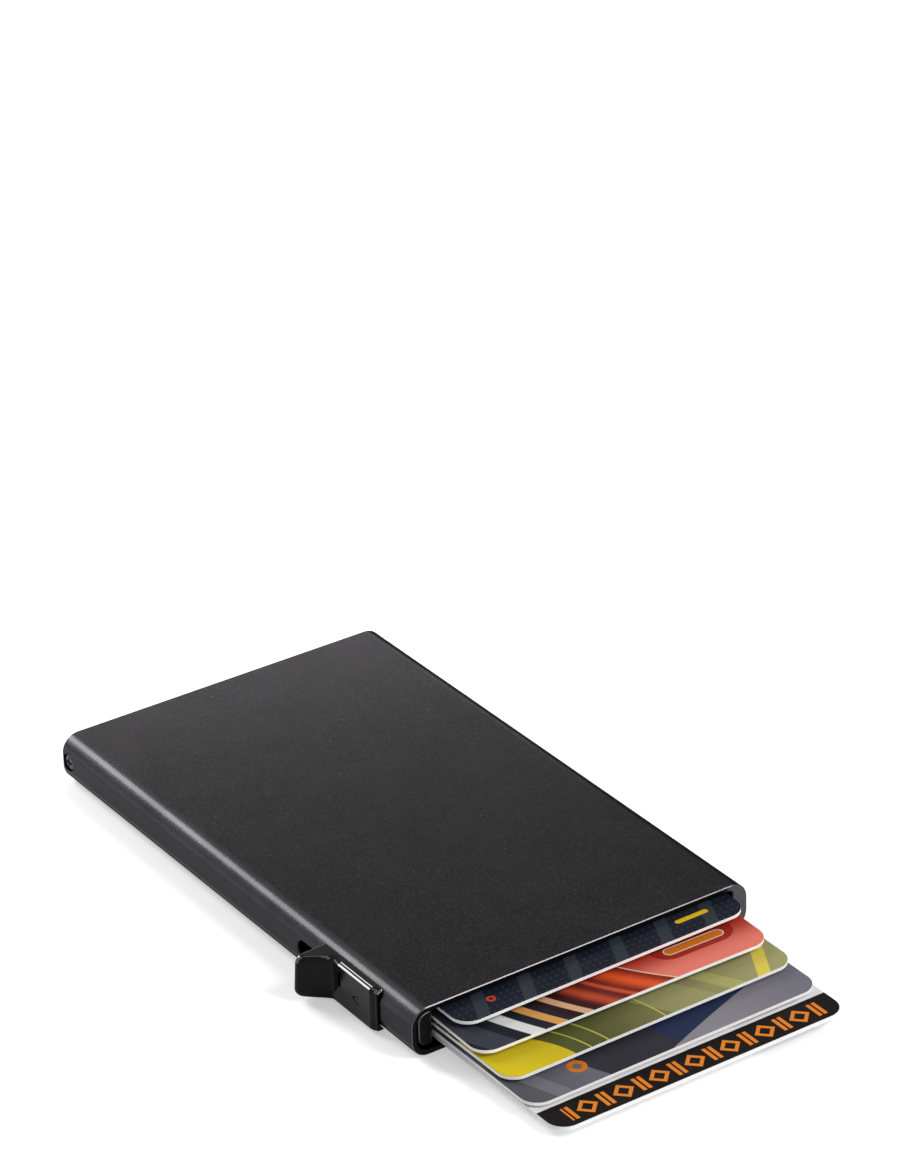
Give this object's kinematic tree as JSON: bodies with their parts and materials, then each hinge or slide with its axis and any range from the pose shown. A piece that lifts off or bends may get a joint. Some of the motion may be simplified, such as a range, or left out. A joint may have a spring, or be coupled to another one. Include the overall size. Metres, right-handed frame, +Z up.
{
  "type": "card holder",
  "caption": "Flat anodised aluminium card holder with a side thumb slider that turns a stepped lever to push the stacked cards out of the mouth in a fan.",
  "frame": {"origin": "centre of the tube's flat bottom face", "axes": "+X across the holder, away from the thumb slider; +Y from the mouth to the closed end; +Z up, through the stack of cards"},
  "size_m": [0.0683, 0.1336, 0.0085],
  "materials": {
    "anodised_aluminium": "satin black anodised, fine blasted grain",
    "gloss_black": "glossy moulded plastic",
    "black_plastic": "matt moulded plastic",
    "steel": "plain",
    "blackened_steel": "blackened",
    "felt": "short pile",
    "navy_card": "printed card",
    "sunset_card": "printed card",
    "olive_card": "printed card",
    "grey_card": "printed card",
    "white_card": "printed card"
  },
  "bodies": {
    "case": {"case_tube": "anodised_aluminium", "end_cap": "black_plastic", "end_screw_left": "blackened_steel", "end_screw_right": "blackened_steel", "pivot_pin": "steel", "slide_rail": "black_plastic", "grip_felt": "felt"},
    "ejector": {"thumb_slider": "gloss_black", "slider_carriage": "black_plastic", "slider_screw": "steel", "draw_bar": "steel", "carriage_rivet": "steel", "drive_pin": "steel", "return_spring": "steel"},
    "lever": {"stepped_lever": "black_plastic"},
    "card_1": {"card_1": "navy_card"},
    "card_2": {"card_2": "sunset_card"},
    "card_3": {"card_3": "olive_card"},
    "card_4": {"card_4": "grey_card"},
    "card_5": {"card_5": "white_card"}
  },
  "joints": [
    {"name": "ejector_slide", "type": "slide", "parent": "case", "child": "ejector", "axis": [0, 1, 0], "range_m": [0, 0.009], "stiffness_N_per_m": 120, "springref_m": -0.003, "deforming": ["return_spring"]},
    {"name": "lever_turn", "type": "hinge", "parent": "case", "child": "lever", "pos_m": [-0.02081, 0.0415, 0.00425], "axis": [0, 0, -1], "range_deg": [0, 62]},
    {"name": "card_1_slide", "type": "slide", "parent": "case", "child": "card_1", "axis": [0, -1, 0], "range_m": [-0.0063, 0.0771]},
    {"name": "card_2_slide", "type": "slide", "parent": "case", "child": "card_2", "axis": [0, -1, 0], "range_m": [-0.01285, 0.07055]},
    {"name": "card_3_slide", "type": "slide", "parent": "case", "child": "card_3", "axis": [0, -1, 0], "range_m": [-0.01865, 0.06475]},
    {"name": "card_4_slide", "type": "slide", "parent": "case", "child": "card_4", "axis": [0, -1, 0], "range_m": [-0.0248, 0.0586]},
    {"name": "card_5_slide", "type": "slide", "parent": "case", "child": "card_5", "axis": [0, -1, 0], "range_m": [-0.0311, 0.0523]}
  ],
  "couplings": [
    {"joint": "lever_turn", "follows": "ejector_slide", "rad_per_m": 120.23}
  ]
}
